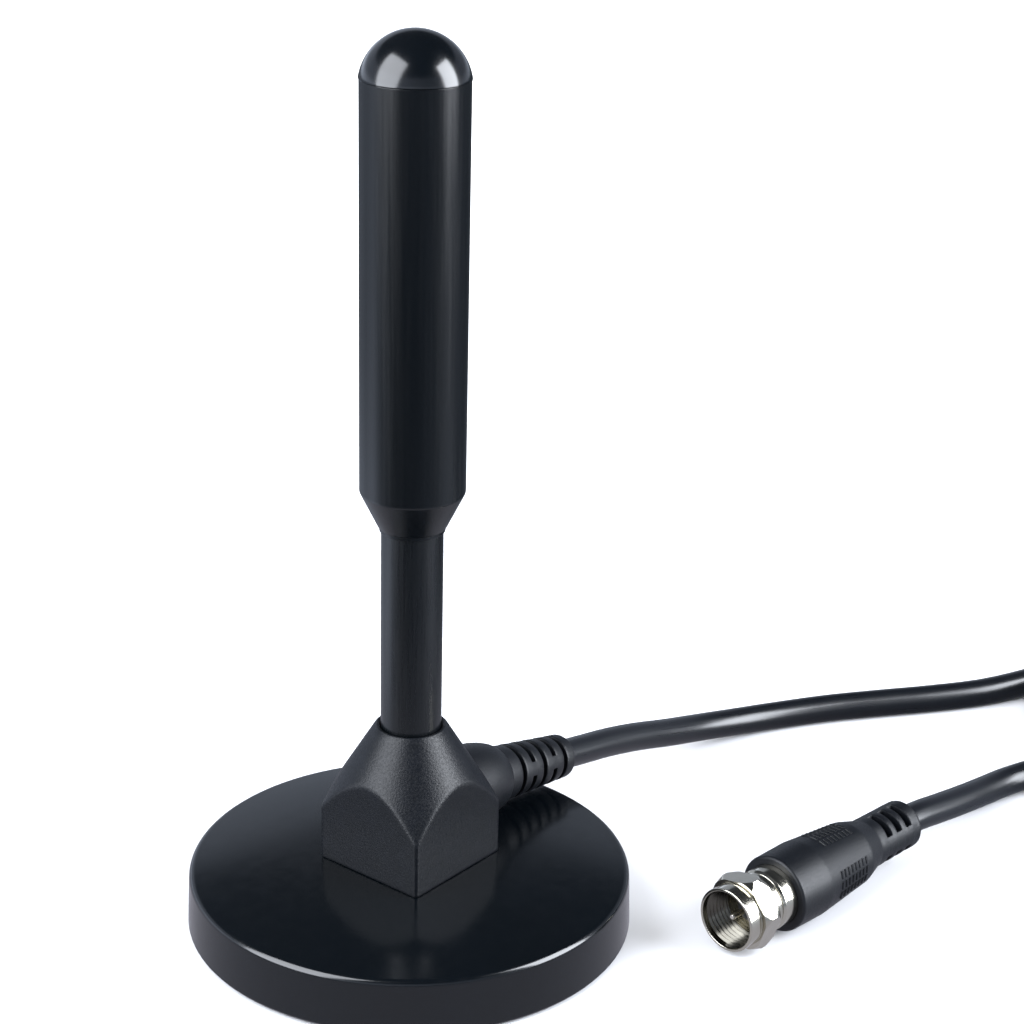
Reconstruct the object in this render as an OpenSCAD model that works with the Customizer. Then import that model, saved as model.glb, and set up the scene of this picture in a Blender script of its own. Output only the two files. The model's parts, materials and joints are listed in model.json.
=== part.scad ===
// Small indoor television aerial: a screw-on rod mast in a square socket on a round
// magnetic foot, with a coaxial lead that ends in a male F plug.
// Millimetres. The origin is the middle of the underside, +Z is up, and the lead
// leaves the socket towards +X.

/* [Foot] */
// Diameter of the round foot
foot_d = 70; // [68:0.5:76]
// Height of the foot's side wall, up to the shoulder
rim_h = 9.5; // [9.3:0.1:10.2]
// Height of the flat seat under the socket
seat_h = 10.9; // [10.6:0.1:11.4]
// Wall of the moulded foot cover
cover_wall = 1.8; // [1.5:0.1:2]

/* [Socket] */
// Side of the square socket block
socket_side = 20; // [19.4:0.2:21]
// Height of the block's upright corner edges
socket_edge_h = 8.6; // [8:0.2:9.4]
// Height of the socket above its seat
socket_h = 22.9; // [22.7:0.1:23.4]
// Radius of the socket's round top rim
rim_r = 5.5; // [5.4:0.1:6]

/* [Mast] */
// Diameter of the stem
stem_d = 9.4; // [9.2:0.1:9.5]
// Length of stem that shows between the socket and the sleeve
stem_shows = 32.2; // [28:0.2:40]
// Diameter of the sleeve
sleeve_d = 15.9; // [15.6:0.1:17]
// Length of the sleeve's straight part
sleeve_h = 61.3; // [61:0.1:70]
// Height of the taper under the sleeve
taper_h = 6.3; // [5:0.1:8]
// Height of the dome on top
dome_h = 7; // [6:0.1:8]
// Pitch of the mast's M6 thread
thread_pitch = 1; // [1:0.25:1.25]

/* [Lead] */
// Diameter of the coaxial cable
cable_d = 5; // [4.8:0.1:5.2]
// Downward tilt of the strain relief, in degrees
relief_tilt = 10.5; // [9:0.5:12]
// Length of the strain relief outside the socket
relief_l = 29; // [28:0.5:30]

/* [Plug] */
// Width across the flats of the coupling nut
nut_flats = 11; // [10.9:0.1:11.2]
// Diameter of the thread bore in the coupling nut
nut_bore_d = 9.1; // [9:0.05:9.2]
// Diameter of the moulded plug body at its front
plug_d = 12.8; // [12.6:0.1:13.2]
// Length of the plug from the nut's mouth to the end of its strain relief
plug_l = 45.5; // [44:0.5:48]

/* [Hidden] */
$fn = 96;
eps = 0.01;

foot_r = foot_d / 2;
shoulder_r = 1.3;
draft = 0.35;
cover_lift = 0.4;
pad_t = 1.2;
pad_r = foot_r - cover_wall - 0.6;
magnet_t = 5;
magnet_r = 30;
magnet_hole_r = 15;
yoke_t = 1.2;
yoke_z = pad_t + magnet_t;
yoke_top = yoke_z + yoke_t;
ceiling_drop = 1.75;

spigot_r = 7;
screw_y = 4.6;
screw_r = 1.3;
screw_head_r = 2.5;
screw_head_t = 1.8;
screw_l = 8;
lug_t = 0.5;
lug_z = yoke_z - lug_t;
braid_x = 5;
braid_r = 0.9;

socket_top = seat_h + socket_h;
corner_top = seat_h + socket_edge_h;
corner_r = socket_side / sqrt(2) + 0.05;
gap = 0.2;
stem_r = stem_d / 2;
cup_r = stem_r + gap;
cup_floor = socket_top - 1.6;
insert_r = 4;
insert_z = 23.4;
insert_h = cup_floor - insert_z;
chamber_r = 4.6;
chamber_z = 16.5;
tag_t = 0.8;

gland_at = [socket_side / 2, 0, 18.6];
gland_plug_r = 4;
gland_plug_l = 3.5;
pocket_r = 3.4;
pocket_l = 8.2;
ferrule_l = 3;
ferrule_r = 3.3;
boss_l = 10;
relief_r1 = 4.6;
relief_r2 = 3.7;
cable_r = cable_d / 2;
core_r = 1.5;
wire_r = 0.45;

stud_r = 3;
thread_gap = 0.05;
stud_z = insert_z + 0.5;
ring_z = cup_floor + 0.05;
ring_t = 0.8;
stem_z = ring_z + ring_t + 0.05;
stud_root = 8;
taper_z = stem_z + stem_shows + 0.7;
sleeve_z = taper_z + taper_h;
cap_z = sleeve_z + sleeve_h;
mast_top = cap_z + dome_h;
sleeve_r = sleeve_d / 2;
sleeve_wall = 1.4;
sleeve_bore = sleeve_r - sleeve_wall;
lip_r = stem_r + 0.25;
stem_top = sleeve_z + 1.7;
rod_r = 1.5;
bush_t = 4;
former_r = 3.5;
former_l = 40;
former_z = stem_top + bush_t;
rod_overlap = 4;
winding_r = 4.1;
winding_wire_r = 0.5;
winding_turns = 8;
winding_pitch = 3.8;
foam_t = 5;
cap_spigot_l = 4;
cap_wall = 1.6;
cap_r = sleeve_r + 0.1;

plug_at = [22.4, -45.2, plug_d / 2];
plug_turn = -6;
nut_l = 8.1;
nut_wall_z = 6.8;
collar_r = 5.2;
collar_l = 2.6;
hex_l = 3.6;
post_r = 3.35;
flange_r = 4.3;
crimp_r = 5;
crimp_z = 8.3;
body_z = 11.5;
post_end = 20;
body_back_z = 30.5;
body_back_r = 5.4;
neck_z = 34.5;
plug_relief_r = 4.2;
pin_r = 0.5;

// The lead's route from the strain relief to the coil, and from the plug to the coil.
tilt_end = relief_l * [cos(relief_tilt), 0, -sin(relief_tilt)];
run_route = [gland_at + tilt_end, [45, 0, 12], [52, 0, 10.6], [60, -0.2, 8.7], [69, -0.7, 6.3],
             [78, -1.7, 4.3], [87, -4.2, 3], [95, -7.8, 2.5], [104, -13.4, 2.5],
             [112, -19.3, 2.5], [120, -25.4, 2.5], [129, -31.5, 2.5], [138.5, -35.9, 2.6],
             [147.5, -38.9, 2.8], [156, -41.2, 3], [163.96, -43.45, 3]];
plug_out = plug_at + plug_l * [cos(plug_turn), sin(plug_turn), 0];
plug_route = [plug_out, [72, -50.4, 6.2], [79, -51.1, 5.2], [86, -51.7, 4.2], [92.5, -52.1, 3.3],
              [99, -53.1, 2.9], [104.8, -55.9, 3.4], [109.2, -60.4, 4.8], [112, -66, 6.6],
              [112.57, -71.94, 8.1]];
coil_at = [149.8, -78.5, 0];
coil_out_r = 37.8;
coil_in_r = 20.74;
tie_t = 0.5;
coil_z = tie_t;
coil_h = 2 * cable_d + 0.1;
coil_round = 2;
tie_w = 4;
tie_angle = -60;

function unit(v) = v / norm(v);
function heading(route, i) =
    unit(route[min(i + 1, len(route) - 1)] - route[max(i - 1, 0)]);
function ring_point(centre, along, r, a) =
    let (side = unit(cross([0, 0, 1], along)), up = cross(along, side))
    centre + r * (cos(a) * side + sin(a) * up);

// A round bar of radius r swept along a route, with flat ends.
module sweep(route, r, sides) {
    count = len(route);
    points = [for (i = [0 : count - 1], k = [0 : sides - 1])
              ring_point(route[i], heading(route, i), r, 360 * k / sides)];
    walls = [for (i = [0 : count - 2], k = [0 : sides - 1])
             let (a = i * sides + k, b = i * sides + (k + 1) % sides)
             each [[a, a + sides, b + sides], [a, b + sides, b]]];
    first = [for (k = [0 : sides - 1]) k];
    last = [for (k = [sides - 1 : -1 : 0]) (count - 1) * sides + k];
    polyhedron(points = points, faces = concat([first, last], walls));
}

// A tube between two heights.
module tube(z, h, r_out, r_in) {
    translate([0, 0, z]) difference() {
        cylinder(h = h, r = r_out);
        translate([0, 0, -eps]) cylinder(h = h + 2 * eps, r = r_in);
    }
}

module rod(z, h, r) {
    translate([0, 0, z]) cylinder(h = h, r = r);
}

module on_gland() {
    translate(gland_at) rotate([0, 90 + relief_tilt, 0]) children();
}

module at_plug() {
    translate(plug_at) rotate([0, 0, plug_turn]) rotate([0, 90, 0]) children();
}

// Slots cut into a strain relief: a full groove, or two arcs that leave bridges.
module groove(z, w, r_out, r_in) {
    tube(z, w, r_out + 1, r_in);
}

module arcs(z, w, r_out, r_in, turn) {
    intersection() {
        tube(z, w, r_out + 1, r_in);
        rotate([0, 0, turn]) translate([-r_out - 1, -r_in * 0.8, z - 1])
            cube([2 * r_out + 2, r_in * 1.6, w + 2]);
    }
}

// ---- Foot ----

module foot_pad() {
    color("#15161a") rod(0, pad_t, pad_r);
}

module ring_magnet() {
    color("#3a3a3e") tube(pad_t, magnet_t, magnet_r, magnet_hole_r);
}

module yoke_plate() {
    color("#9aa0a6") difference() {
        rod(yoke_z, yoke_t, magnet_r + 1);
        for (side = [-1, 1]) translate([0, side * screw_y, 0]) rod(yoke_z - 1, yoke_t + 2, screw_r + 0.1);
        translate([braid_x, 0, 0]) rod(yoke_z - 1, yoke_t + 2, braid_r + 0.3);
    }
}

module foot_cover() {
    shoulder = [for (a = [0 : 15 : 90])
                [foot_r - draft - shoulder_r + shoulder_r * cos(a), rim_h - shoulder_r + shoulder_r * sin(a)]];
    outside = concat([[foot_r - 0.3, cover_lift], [foot_r, cover_lift + 0.5]], shoulder,
                     [[24, rim_h + 0.95], [15, seat_h], [spigot_r + 0.1, seat_h]]);
    inside = [[spigot_r + 0.1, yoke_top], [12, yoke_top], [12, seat_h - ceiling_drop],
              [24, rim_h - 0.8], [foot_r - cover_wall - 1.2, rim_h - ceiling_drop],
              [foot_r - cover_wall - 0.3, cover_lift]];
    color("#0c0f15") rotate_extrude() polygon(concat(outside, inside));
}

// ---- Socket and what it holds ----

module socket() {
    color("#2b2f36") difference() {
        union() {
            intersection() {
                translate([-socket_side / 2, -socket_side / 2, seat_h])
                    cube([socket_side, socket_side, socket_h]);
                union() {
                    rod(seat_h, socket_edge_h, corner_r);
                    translate([0, 0, corner_top])
                        cylinder(h = socket_top - corner_top, r1 = corner_r, r2 = rim_r);
                }
            }
            rod(yoke_top, seat_h - yoke_top + 1, spigot_r);
        }
        rod(cup_floor, 3, cup_r);
        rod(insert_z, insert_h + 1, insert_r);
        rod(chamber_z, insert_z - chamber_z + eps, chamber_r);
        on_gland() rod(-pocket_l, pocket_l, pocket_r);
        on_gland() rod(-gland_plug_l, gland_plug_l + 2, gland_plug_r);
        for (side = [-1, 1]) translate([0, side * screw_y, yoke_top - 1])
            cylinder(h = screw_l + 0.4, r = screw_r - 0.2, $fn = 24);
        translate([braid_x, 0, yoke_top - 1])
            cylinder(h = chamber_z - yoke_top + 3, r = braid_r + 0.3, $fn = 24);
    }
}

module threaded_insert() {
    color("#b48a3c") difference() {
        tube(insert_z, insert_h, insert_r, stud_r + thread_gap);
        for (z = [insert_z + 2.5, insert_z + 5.5]) groove(z, 0.8, insert_r, insert_r - 0.3);
    }
}

module contact_tag() {
    color("#c9a24a") rod(insert_z - tag_t, tag_t, insert_r - 0.1);
}

module socket_screws() {
    color("#b9bcc0") for (side = [-1, 1]) {
        seat = side > 0 ? lug_z : yoke_z;
        translate([0, side * screw_y, seat]) difference() {
            union() {
                rod(-screw_head_t, screw_head_t, screw_head_r);
                rod(-eps, screw_l, screw_r - 0.2);
            }
            for (turn = [0, 90]) rotate([0, 0, turn])
                translate([-1.5, -0.3, -screw_head_t - 1]) cube([3, 0.6, 1.9]);
        }
    }
}

module ground_lug() {
    color("#c8c8c4") difference() {
        hull() {
            translate([0, screw_y, 0]) rod(lug_z, lug_t, 2.3);
            translate([braid_x, 0, 0]) rod(lug_z, lug_t, 1.6);
        }
        translate([0, screw_y, 0]) rod(lug_z - 1, 2, screw_r);
    }
}

module braid_tail() {
    color("#b87b4b") translate([braid_x, 0, 0]) rod(yoke_z, chamber_z - yoke_z - 0.4, braid_r);
}

module anchor_ferrule() {
    color("#aeb2b6") on_gland() tube(-gland_plug_l - ferrule_l, ferrule_l, ferrule_r, cable_r);
}

module core_dielectric() {
    color("#f0efe9") on_gland() rod(-gland_plug_l - ferrule_l - 2, 2, core_r);
}

module core_wire() {
    color("#b5713c") {
        on_gland() rod(-gland_plug_l - ferrule_l - 3, 1, wire_r);
        translate([gland_at[0] - 9.2, 0, 0]) rod(20, insert_z - tag_t - 20, wire_r);
    }
}

// ---- Strain relief and lead ----

module cable_gland() {
    bell = [for (a = [0 : 15 : 90]) [relief_r1 + 1.75 * cos(a), 2.5 + (boss_l - 2.5) * sin(a)]];
    outline = concat([[cable_r, -gland_plug_l], [gland_plug_r, -gland_plug_l], [gland_plug_r, -1.2],
                      [relief_r1 + 1.75, -1.2]], bell,
                     [[relief_r1, boss_l + 2], [relief_r2, relief_l - 1], [relief_r2 - 0.3, relief_l - 0.3],
                      [relief_r2 - 0.7, relief_l], [cable_r, relief_l]]);
    color("#24262b") difference() {
        on_gland() difference() {
            rotate_extrude() polygon(outline);
            for (z = [13, 19, 25]) groove(z, 1, relief_r1, cable_r + 0.6);
            for (z = [16, 22]) arcs(z, 1, relief_r1, cable_r + 0.6, 0);
        }
        difference() {
            translate([0, -9, seat_h]) cube([socket_side / 2, 18, 20]);
            on_gland() rod(-6, 8, gland_plug_r);
        }
    }
}

module cable_tail() {
    color("#14161a") on_gland() rod(-gland_plug_l - ferrule_l, relief_l + gland_plug_l + ferrule_l, cable_r);
}

module cable_run() {
    color("#14161a") sweep(run_route, cable_r, 12);
}

module plug_run() {
    color("#14161a") sweep(plug_route, cable_r, 12);
}

// Outline of the coil's section, r_grow wider all round.
module coil_section(grow) {
    low = coil_in_r - cable_r - grow;
    high = coil_out_r + cable_r + grow;
    bottom = coil_z - grow;
    top = coil_z + coil_h + grow;
    polygon([[low + coil_round, bottom], [high - coil_round, bottom], [high, bottom + coil_round],
             [high, top - coil_round], [high - coil_round, top], [low + coil_round, top],
             [low, top - coil_round], [low, bottom + coil_round]]);
}

module cable_coil() {
    color("#14161a") translate(coil_at) rotate_extrude() coil_section(0);
}

module coil_tie() {
    color("#1c1c1c") translate(coil_at) rotate([90, 0, tie_angle]) translate([0, 0, -tie_w / 2])
        linear_extrude(tie_w) difference() {
            coil_section(tie_t);
            coil_section(0.1);
        }
}

// ---- Plug ----

module plug_tail() {
    color("#14161a") at_plug() rod(post_end + 2, plug_l - post_end - 2, cable_r);
}

module plug_body() {
    plug_r = plug_d / 2;
    nose = [for (a = [0 : 15 : 90]) [plug_r - 1.2 + 1.2 * sin(a), body_z + 1.2 - 1.2 * cos(a)]];
    outline = concat([[crimp_r, body_z]], nose,
                     [[plug_r, body_z + 7], [body_back_r, body_back_z], [plug_relief_r, neck_z],
                      [plug_relief_r - 0.1, plug_l - 1], [plug_relief_r - 0.8, plug_l], [cable_r, plug_l],
                      [cable_r, post_end + 2], [post_r, post_end + 2], [post_r, body_z + 3],
                      [crimp_r, body_z + 3]]);
    color("#1d1f24") at_plug() difference() {
        rotate_extrude() polygon(outline);
        for (z = [neck_z + 2, neck_z + 4.6, neck_z + 7.2]) {
            arcs(z, 1.3, plug_relief_r, cable_r + 0.5, 0);
            arcs(z, 1.3, plug_relief_r, cable_r + 0.5, 90);
        }
    }
}

module plug_ferrule() {
    color("#c9c3ae") at_plug() tube(crimp_z, body_z + 3 - crimp_z, crimp_r, post_r);
}

module plug_post() {
    color("#c9c3ae") at_plug() difference() {
        union() {
            rod(5.6, 1.1, flange_r);
            rod(5.6, post_end - 5.6, post_r);
        }
        rod(5, post_end, cable_r - 0.1);
    }
}

module plug_dielectric() {
    color("#f2f1ea") at_plug() tube(5.8, post_end + 2 - 5.8, cable_r - 0.1, pin_r);
}

module centre_pin() {
    color("#c98a55") at_plug() rod(1.4, post_end + 0.6, pin_r);
}

module coupling_nut() {
    hex_r = nut_flats / sqrt(3);
    color("#cdc7b2") at_plug() difference() {
        union() {
            rod(0, collar_l, collar_r);
            intersection() {
                translate([0, 0, collar_l]) rotate([0, 0, 18]) cylinder(h = hex_l, r = hex_r, $fn = 6);
                translate([0, 0, collar_l - 1]) cylinder(h = hex_l + 1, r1 = hex_r - 1, r2 = hex_r + 1.1);
                translate([0, 0, collar_l]) cylinder(h = hex_l + 1, r1 = hex_r + 1.1, r2 = hex_r - 1);
            }
            rod(collar_l + hex_l, nut_l - collar_l - hex_l, collar_r - 0.3);
        }
        rod(-1, nut_wall_z + 1, nut_bore_d / 2);
        rod(0, nut_l + 1, post_r + 0.07);
    }
}

// ---- Mast ----

module seal_ring() {
    color("#0a0a0a") tube(ring_z, ring_t, stem_r - 0.2, stud_r + 0.1);
}

module mast_stud() {
    color("#b8913f") difference() {
        rod(stud_z, stem_z + stud_root - stud_z, stud_r);
        groove(stem_z + 3, 1, stud_r, stud_r - 0.3);
    }
}

module stem() {
    color("#10131a") difference() {
        rod(stem_z, stem_top - stem_z, stem_r);
        rod(stem_z - 1, stud_root + 1, stud_r);
        rod(stem_z, stem_top, stem_r - 2.1);
    }
}

module radiator_rod() {
    color("#b8913f") rod(stem_z + stud_root, former_z + rod_overlap - stem_z - stud_root, rod_r);
}

module stem_bush() {
    color("#e9e6dc") tube(stem_top, bush_t, sleeve_bore, rod_r);
}

module sleeve() {
    outline = [[stem_r, taper_z], [lip_r, taper_z], [lip_r, taper_z + 0.5], [sleeve_r, sleeve_z],
               [sleeve_r, cap_z], [sleeve_bore, cap_z], [sleeve_bore, stem_top], [stem_r, stem_top]];
    color("#0e1118") rotate_extrude() polygon(outline);
}

module coil_former() {
    color("#ece8dc") difference() {
        rod(former_z, former_l, former_r);
        rod(former_z - 1, rod_overlap + 1, rod_r);
        rod(former_z + former_l - rod_overlap, rod_overlap + 1, rod_r);
    }
}

module loading_coil() {
    steps = 16;
    start = former_z + (former_l - winding_turns * winding_pitch) / 2;
    route = [for (i = [0 : winding_turns * steps])
             [winding_r * cos(360 * i / steps), winding_r * sin(360 * i / steps),
              start + winding_pitch * i / steps]];
    color("#b4602f") sweep(route, winding_wire_r, 6);
}

module upper_rod() {
    color("#b8913f") rod(former_z + former_l - rod_overlap, 10, rod_r);
}

module foam_plug() {
    color("#6b6f75") tube(former_z + former_l, foam_t, sleeve_bore - 0.1, rod_r);
}

module dome_cap() {
    inner_r = sleeve_bore - cap_wall;
    dome = [for (a = [0 : 6 : 90]) [cap_r * cos(a), cap_z + dome_h * sin(a)]];
    hollow = [for (a = [90 : -10 : 0]) [inner_r * cos(a), cap_z + (dome_h - cap_wall) * sin(a)]];
    outline = concat([[sleeve_bore, cap_z]], dome, hollow,
                     [[inner_r, cap_z - cap_spigot_l], [sleeve_bore, cap_z - cap_spigot_l]]);
    color("#0b0e14") rotate_extrude() polygon(outline);
}

foot_pad();
ring_magnet();
yoke_plate();
foot_cover();
socket();
threaded_insert();
contact_tag();
socket_screws();
ground_lug();
braid_tail();
anchor_ferrule();
core_dielectric();
core_wire();
cable_gland();
cable_tail();
cable_run();
cable_coil();
coil_tie();
plug_run();
plug_tail();
plug_body();
plug_ferrule();
plug_post();
plug_dielectric();
centre_pin();
coupling_nut();
seal_ring();
mast_stud();
stem();
radiator_rod();
stem_bush();
sleeve();
coil_former();
loading_coil();
upper_rod();
foam_plug();
dome_cap();
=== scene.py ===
# %% [markdown]
# # A small magnetic-foot television aerial
# A rod mast with a fat capped sleeve screws into a square socket on a round magnetic foot. A
# coaxial lead leaves the socket through a slotted strain relief and ends in a male F plug.
# The CAD model is the frame: every piece here is made where the CAD says, in the same
# coordinates, and rides on one of its bodies. Lengths are written in millimetres and are
# turned to Blender's metres only when a mesh is made.

# %% Load the frame
import json
import math
import bpy
import bmesh
import numpy as np
from mathutils import Matrix, Vector


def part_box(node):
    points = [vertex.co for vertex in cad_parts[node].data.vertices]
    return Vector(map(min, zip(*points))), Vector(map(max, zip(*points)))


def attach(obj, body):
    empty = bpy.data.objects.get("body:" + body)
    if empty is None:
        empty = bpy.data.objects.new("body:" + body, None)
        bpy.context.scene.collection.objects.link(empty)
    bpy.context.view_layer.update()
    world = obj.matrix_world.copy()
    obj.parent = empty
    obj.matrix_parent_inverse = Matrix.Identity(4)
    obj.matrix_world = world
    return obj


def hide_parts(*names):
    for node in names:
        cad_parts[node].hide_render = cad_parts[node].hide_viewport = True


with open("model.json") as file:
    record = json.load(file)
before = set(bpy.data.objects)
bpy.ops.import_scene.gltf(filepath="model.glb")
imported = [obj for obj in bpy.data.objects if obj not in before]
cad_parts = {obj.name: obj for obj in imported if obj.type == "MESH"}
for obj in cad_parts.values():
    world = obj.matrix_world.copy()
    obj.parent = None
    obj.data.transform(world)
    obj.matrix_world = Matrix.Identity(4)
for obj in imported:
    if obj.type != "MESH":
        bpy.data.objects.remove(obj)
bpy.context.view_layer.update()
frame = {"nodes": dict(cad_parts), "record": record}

MM = 0.001
scene = bpy.context.scene
scene.view_settings.view_transform = "Standard"


def box(node):
    """A CAD node's lowest and highest corners, in millimetres."""
    return [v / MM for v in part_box(node)]


# %% [markdown]
# ## The camera
# The aerial is seen from its front corner, a little over a table lamp's distance away, with a
# short telephoto lens. Azimuth 0 would look along +Y. The small turn, tilt and roll place the
# aerial left of the middle, so that the plug and the lead have room on the right.

# %% Camera
cam_azimuth = math.radians(-48.9)
cam_distance = 332
cam_height = 199.6
cam_turn = math.radians(2.56)
cam_tilt = math.radians(21.47)
cam_roll = math.radians(1.33)

camera = bpy.data.objects.new("camera", bpy.data.cameras.new("camera"))
camera.data.lens = 84.1
camera.data.sensor_width = 36
camera.data.clip_start = 0.01
cam_at = Vector((math.sin(cam_azimuth) * cam_distance, -math.cos(cam_azimuth) * cam_distance, cam_height))
camera.matrix_world = (
    Matrix.Translation(cam_at * MM)
    @ Matrix.Rotation(cam_azimuth - cam_turn, 4, "Z")
    @ Matrix.Rotation(math.pi / 2 - cam_tilt, 4, "X")
    @ Matrix.Rotation(cam_roll, 4, "Z")
)
scene.collection.objects.link(camera)
scene.camera = camera
print("camera at", [round(v) for v in cam_at], "mm")

# %% [markdown]
# ## One way to add a node
# Materials and Geometry Nodes are both trees of nodes. This one function adds any node, sets
# its options, and fills each input with a value, with a link from another node's socket, or
# with a link from a node's first output.
# Colours are written as sRGB hex, the way a paint chip is read from a screen, and one function
# turns them to the linear values that the shaders need.

# %% Nodes and colours
def add(tree, kind, inputs=None, **options):
    made = tree.nodes.new(kind)
    for name, value in options.items():
        setattr(made, name, value)
    for key, value in (inputs or {}).items():
        if isinstance(value, bpy.types.Node):
            value = value.outputs[0]
        if isinstance(value, bpy.types.NodeSocket):
            tree.links.new(value, made.inputs[key])
        else:
            made.inputs[key].default_value = value
    return made


def linear(hex_colour):
    parts = [int(hex_colour[i:i + 2], 16) / 255 for i in (0, 2, 4)]
    return [p / 12.92 if p <= 0.04045 else ((p + 0.055) / 1.055) ** 2.4 for p in parts] + [1.0]


def start_material(name):
    made = bpy.data.materials.new(name)
    made.use_nodes = True
    tree = made.node_tree
    tree.nodes.clear()
    shader = add(tree, "ShaderNodeBsdfPrincipled")
    add(tree, "ShaderNodeOutputMaterial", {"Surface": shader})
    return made, tree, shader


print("white is", linear("ffffff"))

# %% [markdown]
# ## Plastics and rubbers
# A moulded or extruded plastic is never one flat tone. The pigment clouds a little, the gloss
# varies with how the steel was polished, and the skin copies the grain of the mould. `coat`
# draws all three from two noises. The sizes are in millimetres. `stretch` pulls the grain
# out along an axis, as an extrusion die does, and `on_uv` follows a cord's own length instead
# of the object's axes. A pitted skin traps some of the light, and a lower `gloss` stands for that.

# %% Plastic
def coat(tree, shader, cloud, skin, dark, light, rough, bump):
    """Slow clouds in the colour, and fine marks in the gloss and the relief."""
    # A Mix node keeps its two colours in inputs 6 and 7, and the mixed one in output 2.
    tone = add(tree, "ShaderNodeMix", {"Factor": cloud, 6: linear(dark), 7: linear(light)},
        data_type="RGBA")
    polish = add(tree, "ShaderNodeMapRange", {"Value": skin, "From Min": 0.3, "From Max": 0.7,
        "To Min": rough[0], "To Max": rough[1]})
    relief = add(tree, "ShaderNodeBump", {"Height": skin, "Distance": bump * MM, "Strength": 1.0})
    tree.links.new(tone.outputs[2], shader.inputs["Base Color"])
    tree.links.new(polish.outputs[0], shader.inputs["Roughness"])
    tree.links.new(relief.outputs[0], shader.inputs["Normal"])


def plastic(name, dark, light, rough, grain, bump, ior=1.5, stretch=(1, 1, 1), on_uv=False, gloss=0.5):
    made, tree, shader = start_material(name)
    source = add(tree, "ShaderNodeTexCoord").outputs["UV" if on_uv else "Object"]
    where = add(tree, "ShaderNodeMapping", {"Vector": source, "Scale": stretch})
    cloud = add(tree, "ShaderNodeTexNoise", {"Vector": where, "Scale": 0.12 / (grain * MM),
        "Detail": 3.0})
    skin = add(tree, "ShaderNodeTexNoise", {"Vector": where, "Scale": 1 / (grain * MM), "Detail": 4.0})
    coat(tree, shader, cloud.outputs["Fac"], skin.outputs["Fac"], dark, light, rough, bump)
    shader.inputs["IOR"].default_value = ior
    shader.inputs["Specular IOR Level"].default_value = gloss
    return made


# Polished moulded ABS: deep black with sharp, slightly wavy reflections.
gloss_abs = plastic("abs_moulded_gloss", "020406", "04070b", (0.15, 0.2), 2.2, 0.0016, 1.52)
# Extruded ABS tube: the same black, with faint draw lines that break the reflections lengthwise.
tube_abs = plastic("abs_extruded_gloss", "020406", "04070b", (0.2, 0.27), 0.5, 0.0008, 1.52, (1, 1, 0.02))
# The stem's tube has a satin skin, so its highlights are broad and grey.
satin_abs = plastic("abs_extruded_satin", "020406", "04070b", (0.25, 0.33), 0.4, 0.001, 1.52,
    (1, 1, 0.04))
# ABS moulded in a spark-eroded cavity: a coarse grain that sparkles where the light rakes it.
eroded_abs = plastic("abs_moulded_spark_eroded", "020407", "070a10", (0.3, 0.5), 0.3, 0.045, 1.52,
    gloss=0.24)
# Soft PVC moulded over the lead: the same kind of grain, finer and flatter.
moulded_pvc = plastic("pvc_moulded_satin", "020408", "05080e", (0.38, 0.52), 0.3, 0.016, 1.53, gloss=0.3)
# Extruded PVC sheath: satin gloss with faint lines along the lead.
sheath_pvc = plastic("pvc_extruded_sheath", "05070b", "0a0d13", (0.26, 0.34), 0.6, 0.003, 1.53,
    (1, 0.03, 1), True)
# The same sheath on the short straight ends inside the mouldings, which have no map of their own.
end_pvc = plastic("pvc_extruded_end", "05070b", "0a0d13", (0.24, 0.32), 0.6, 0.003, 1.53)
# Moulded EPDM rubber: dull, with a dusty bloom.
black_rubber = plastic("rubber_moulded_black", "0a0a0b", "1a1a1b", (0.7, 0.9), 0.5, 0.012, 1.52)
# Nylon 66 cable tie: smooth satin.
tie_nylon = plastic("nylon_moulded_black", "0b0b0c", "141415", (0.3, 0.4), 0.8, 0.002, 1.53)
# Natural nylon: waxy ivory, slightly uneven.
ivory_nylon = plastic("nylon_moulded_natural", "d8d0b8", "ece6d4", (0.35, 0.45), 1.5, 0.004, 1.53)
# Natural polyethylene around the lead's core: milky white.
white_pe = plastic("polyethylene_extruded_white", "e2e0d6", "f3f2ec", (0.35, 0.45), 0.8, 0.003, 1.51)
# Black polyethylene bead inside the plug, dull where it was cut.
black_pe = plastic("polyethylene_cut_black", "08080a", "141416", (0.45, 0.6), 0.4, 0.01, 1.51)
# Foamed polyethylene: open cells half a millimetre across.
grey_foam = plastic("polyethylene_foamed_grey", "3a3d41", "6b6f75", (0.8, 0.95), 0.6, 0.12, 1.5)
# Sintered ferrite, ground flat: dark grey and gritty.
ferrite = plastic("ferrite_sintered_ground", "26262a", "3c3c40", (0.45, 0.65), 0.35, 0.01, 1.9)
print("plastics made:", len(bpy.data.materials))

# %% [markdown]
# ## Metals
# A turned or drawn metal is bright, but its tool marks smear the reflection across the marks.
# The marks are noise squeezed along one axis of the piece: rings on a turned piece, lines on a
# drawn wire. `turn` swings the marks round Z to follow a piece that lies askew. Tarnish is a
# slow change of tone between two near colours. The IOR stays at its default, since the base
# colour sets what a metal reflects.

# %% Metal
def metal(name, dark, light, rough, mark, bump, stretch, turn=0.0):
    made, tree, shader = start_material(name)
    source = add(tree, "ShaderNodeTexCoord").outputs["Object"]
    where = add(tree, "ShaderNodeMapping", {"Vector": source, "Rotation": (0, 0, turn)})
    along = add(tree, "ShaderNodeMapping", {"Vector": where, "Scale": stretch})
    cloud = add(tree, "ShaderNodeTexNoise", {"Vector": source, "Scale": 300.0, "Detail": 3.0})
    marks = add(tree, "ShaderNodeTexNoise", {"Vector": along, "Scale": 1 / (mark * MM), "Detail": 2.0})
    coat(tree, shader, cloud.outputs["Fac"], marks.outputs["Fac"], dark, light, rough, bump)
    shader.inputs["Metallic"].default_value = 1.0
    return made


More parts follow.
